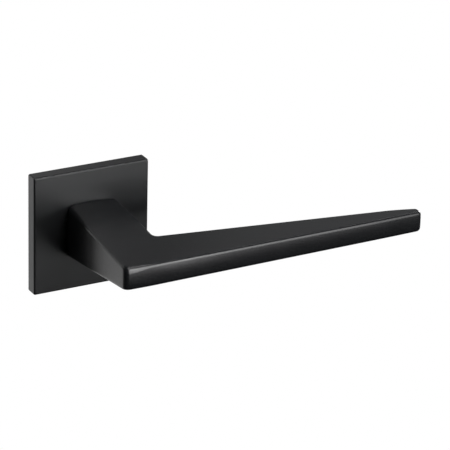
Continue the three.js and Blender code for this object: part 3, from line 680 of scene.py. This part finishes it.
# ---------------------------------------------------------------------------
# The neck bush. White acetal, pressed into the base plate: the plain bearing
# that the lever's spigot turns in.
# ---------------------------------------------------------------------------

# White acetal: milky and waxy, so it is nearly white with a broad soft shine.
white_acetal = plastic("moulded_white_acetal", "e4e2da", "efede6", 0.38, 1.48, 2500.0, 0.1)

bm = turned([
    (8.4, -4.1), (9.7, -4.1), (9.8, -4.0), (9.8, -2.75), (10.8, -2.7), (10.9, -2.6),
    (10.9, -1.7), (10.8, -1.6), (8.4, -1.6), (8.3, -1.7), (8.3, -4.0),
])
bush = new_piece("neck_bush_moulding", bm)
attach(bush, "rose")
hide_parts("neck_bush")
dress(bush, white_acetal)


# ---------------------------------------------------------------------------
# The return spring. Round wire wound one and three quarter turns round the
# bush: one leg lies in the base plate's slot, the other in the driver's tooth.
# ---------------------------------------------------------------------------

WIRE_RADIUS = 0.75
COIL_RADIUS = 11.95
COIL_TURNS = 1.75
COIL_FRONT, COIL_BACK = -1.95, 0.85
FIXED_LEG_AT = 60.0
LEG_OUT = 2.0
LEG_BACK = 3.4
STEPS_A_TURN = 64


def coil_point(share):
    angle = math.radians(FIXED_LEG_AT - 360.0 * COIL_TURNS * share)
    depth = COIL_FRONT + (COIL_BACK - COIL_FRONT) * share
    return Vector((COIL_RADIUS * math.cos(angle), depth, COIL_RADIUS * math.sin(angle))) * MM


# The wire's round section is carried along its line and skinned.
start, end = coil_point(0.0), coil_point(1.0)
outwards = Vector((start.x, 0.0, start.z)).normalized()
count = round(STEPS_A_TURN * COIL_TURNS)
line = [start + outwards * (LEG_OUT - 0.4 * n) * MM for n in range(0, 5)]
line += [coil_point((n + 0.6) / count) for n in range(count)]
line += [end + Vector((0.0, (0.35 + n * (LEG_BACK - COIL_BACK - 0.35) / 4.0) * MM, 0.0)) for n in range(0, 5)]
bm = bmesh.new()
ring = first_ring = bmesh.ops.create_circle(bm, segments=16, radius=WIRE_RADIUS * MM)["verts"]
side = Vector((0.0, 0.0, 1.0))
for n, spot in enumerate(line):
    ahead = (line[min(n + 1, len(line) - 1)] - line[max(n - 1, 0)]).normalized()
    square_to_it = ahead.cross(Vector((0.0, 1.0, 0.0)))
    if square_to_it.length > 0.2:
        side = square_to_it.normalized()
    up = side.cross(ahead).normalized()
    if n:
        ring = drawn_on(bm, ring)
    for step, vertex in enumerate(ring):
        turn = 2.0 * math.pi * step / len(ring)
        vertex.co = spot + (side * math.cos(turn) + up * math.sin(turn)) * WIRE_RADIUS * MM
bmesh.ops.contextual_create(bm, geom=ring_edges(first_ring))
bmesh.ops.contextual_create(bm, geom=ring_edges(ring))
spring = new_piece("return_spring_wire", bm, 50.0)
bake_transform(spring)
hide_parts("return_spring")
dress(spring, spring_steel)


# ---------------------------------------------------------------------------
# The driver. A zinc casting on the square bar: its tooth pulls the spring's
# leg when the lever is pressed and meets the stops at both ends.
# ---------------------------------------------------------------------------

driver = eased_copy("driver_casting", "driver", 0.18)
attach(driver, "lever")
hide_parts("driver")
dress(driver, cast_zinc)


# ---------------------------------------------------------------------------
# The spring cover and its snap ring. A pressed plate with two bent stops
# closes the housing, and an open ring in the housing's groove holds it.
# ---------------------------------------------------------------------------

cover = eased_copy("spring_cover_pressing", "spring_cover", 0.15)
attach(cover, "rose")
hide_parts("spring_cover")
dress(cover, plated_steel)

snap = eased_copy("snap_ring_stamping", "snap_ring", 0.12)
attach(snap, "rose")
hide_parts("snap_ring")
dress(snap, spring_steel)


# ---------------------------------------------------------------------------
# The wave washer and circlip. The waved ring takes up the end play and the
# open ring in the hub's groove holds the lever's turning parts together.
# ---------------------------------------------------------------------------

WASHER_INNER = 7.68
WASHER_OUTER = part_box("wave_washer")[1].x / MM
WASHER_NEAR, WASHER_FAR = 5.4, 5.7
WAVE_DEPTH = 0.15
WAVES = 3.0
bm = turned([
    (WASHER_INNER, WASHER_NEAR), (WASHER_OUTER, WASHER_NEAR),
    (WASHER_OUTER, WASHER_FAR), (WASHER_INNER, WASHER_FAR),
], 120)
for vertex in bm.verts:
    vertex.co.y += WAVE_DEPTH * MM * math.cos(WAVES * math.atan2(vertex.co.z, vertex.co.x))
washer = new_piece("wave_washer_stamping", bm)
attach(washer, "lever")
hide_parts("wave_washer")
dress(washer, spring_steel)

circlip = eased_copy("circlip_stamping", "circlip", 0.12)
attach(circlip, "lever")
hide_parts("circlip")
dress(circlip, spring_steel)


# ---------------------------------------------------------------------------
# The spindle and its leaf. A cold-drawn square steel bar, zinc plated, with a
# small leaf spring in its groove that takes the rattle out of the lever.
# ---------------------------------------------------------------------------

# Drawn steel under zinc plate: fine lines run along the bar, drawn 0.5 mm apart so that they show.
drawn_steel = metal(
    "zinc_plated_drawn_steel", "b4bac1", "cbccc8", 0.3, 2000.0, 0.25, stretch=(1.0, 0.02, 1.0))

spindle = eased_copy("square_bar", "spindle", 0.25)
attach(spindle, "lever")
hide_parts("spindle")
dress(spindle, drawn_steel)

leaf = eased_copy("leaf_spring", "spindle_leaf", 0.06)
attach(leaf, "lever")
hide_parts("spindle_leaf")
dress(leaf, spring_steel)


# ---------------------------------------------------------------------------
# The studio: a pale floor that only the camera sees, a surround that is white
# to the camera and nearly dark to the handle, and soft boxes that light it.
# ---------------------------------------------------------------------------

FLOOR_HALF = 20.0         # metres
FLOOR_LEVEL = -0.3
SURROUND_ON_THE_HANDLE = 0.004

bm = bmesh.new()
bmesh.ops.create_grid(
    bm, x_segments=1, y_segments=1, size=FLOOR_HALF, matrix=Matrix.Translation((0, 0, FLOOR_LEVEL)))
floor = new_piece("studio_floor", bm)
floor_paint, tree = new_material("pale_floor")
glow = add_node(tree, "ShaderNodeEmission", inputs={"Color": linear("ffffff"), "Strength": 1.0})
finish_material(tree, glow.outputs["Emission"])
dress(floor, floor_paint)
floor.visible_diffuse = False
floor.visible_glossy = False
floor.visible_transmission = False
floor.visible_shadow = False

world = bpy.data.worlds.new("studio")
bpy.context.scene.world = world
world.use_nodes = True
tree = world.node_tree
tree.nodes.clear()
path = add_node(tree, "ShaderNodeLightPath")
seen = add_node(tree, "ShaderNodeBackground", inputs={"Color": linear("ffffff"), "Strength": 1.0})
lit = add_node(
    tree, "ShaderNodeBackground", inputs={"Color": linear("ffffff"), "Strength": SURROUND_ON_THE_HANDLE})
mix = add_node(
    tree, "ShaderNodeMixShader",
    links={0: path.outputs["Is Camera Ray"], 1: lit.outputs[0], 2: seen.outputs[0]},
)
add_node(tree, "ShaderNodeOutputWorld", links={"Surface": mix.outputs[0]})


def soft_box(name, place, aim, size, power):
    light = bpy.data.lights.new(name, "AREA")
    light.shape = "RECTANGLE"
    light.size, light.size_y = size
    light.energy = power
    box = bpy.data.objects.new(name, light)
    bpy.context.scene.collection.objects.link(box)
    box.location = place
    box.rotation_euler = (Vector(aim) - Vector(place)).to_track_quat("-Z", "Y").to_euler()
    box.visible_camera = False


# Turn round from the front, height, width and strength of each box, all at arm's length.
MIDDLE = Vector((0.03, -0.03, 0.0))
REACH = 0.8
SOFT_BOXES = [
    (10, 0, 0.135, 0.35), (10, 10, 0.135, 0.36), (10, 20, 0.135, 0.28), (10, 30, 0.135, 0.38),
    (20, -10, 0.135, 0.41), (20, 0, 0.135, 0.33), (20, 50, 0.135, 0.58), (20, 60, 0.135, 0.41),
    (30, -10, 0.135, 0.13), (30, 0, 0.135, 0.34), (40, 0, 0.135, 0.17), (60, 50, 0.135, 0.28),
    (-180, -75, 0.29, 0.08), (-180, -55, 0.29, 0.30), (-180, -37, 0.29, 0.15), (-180, -20, 0.29, 0.30),
    (-165, 42, 0.29, 0.11), (-158, -5, 0.29, 0.51), (-156, -20, 0.29, 0.20), (-150, -37, 0.29, 0.25),
    (-146, 10, 0.29, 0.46), (-140, -55, 0.29, 0.41), (-135, 42, 0.29, 0.46), (-132, -20, 0.29, 0.25),
    (-120, -37, 0.29, 0.08), (-108, -20, 0.29, 0.08), (-105, 42, 0.29, 0.47), (-100, -55, 0.29, 0.08),
    (100, -55, 0.29, 0.08), (105, 42, 0.29, 0.30), (108, -20, 0.29, 0.30), (120, -37, 0.29, 0.08),
    (132, -20, 0.29, 0.08), (135, 42, 0.29, 0.08), (140, -55, 0.29, 0.08), (144, 25, 0.29, 0.05),
    (150, -37, 0.29, 0.30), (156, -20, 0.29, 0.30), (165, 42, 0.29, 0.09), (168, 25, 0.29, 0.16),
]

# Small boxes close to the rose, each with its turn, height and strength, for the glow on its front.
NEAR_MIDDLE = Vector((0.0, -0.0056, 0.0))
NEAR_REACH = 0.25
NEAR_WIDTH = 0.07 * NEAR_REACH / REACH
NEAR_BOXES = [
    (0, 30, 0.060), (0, 50, 0.040), (12, -12, 0.011), (12, 0, 0.019), (24, -12, 0.005), (24, 0, 0.010),
    (30, 50, 0.040), (30, 70, 0.040), (60, 50, 0.020), (75, 15, 0.300),
]


def light_way(round_by, height):
    turn, rise = math.radians(round_by), math.radians(height)
    return Vector((math.sin(turn) * math.cos(rise), -math.cos(turn) * math.cos(rise), math.sin(rise)))


for number, (round_by, height, width, power) in enumerate(SOFT_BOXES):
    place = MIDDLE + light_way(round_by, height) * REACH
    soft_box(f"soft_box_{number + 1:02d}", place, MIDDLE, (width, width), power)
for number, (round_by, height, power) in enumerate(NEAR_BOXES):
    place = NEAR_MIDDLE + light_way(round_by, height) * NEAR_REACH
    soft_box(f"near_box_{number + 1:02d}", place, NEAR_MIDDLE, (NEAR_WIDTH, NEAR_WIDTH), power)

bpy.context.scene.view_settings.view_transform = "Standard"

# The camera looks at the handle from the left and a little above.
YAW, TILT, LEAN = -0.4957, 0.4029, 0.0242
CAMERA_RIGHT, CAMERA_DOWN, CAMERA_BACK = 0.057648, 0.0010536, 1.33804
SENSOR_WIDTH, LENS = 36.0, 258.83
back_way = Vector((math.sin(YAW) * math.cos(TILT), -math.cos(YAW) * math.cos(TILT), math.sin(TILT)))
level = Vector((math.cos(YAW), math.sin(YAW), 0.0))
upright = back_way.cross(level)
side_way = level * math.cos(LEAN) + upright * math.sin(LEAN)
up_way = upright * math.cos(LEAN) - level * math.sin(LEAN)
camera_data = bpy.data.cameras.new("camera")
camera_data.sensor_width = SENSOR_WIDTH
camera_data.lens = LENS
camera = bpy.data.objects.new("camera", camera_data)
bpy.context.scene.collection.objects.link(camera)
camera_turn = Matrix((side_way, up_way, back_way)).transposed().to_4x4()
camera.matrix_world = Matrix.Translation(
    side_way * CAMERA_RIGHT - up_way * CAMERA_DOWN + back_way * CAMERA_BACK
) @ camera_turn
bpy.context.scene.camera = camera
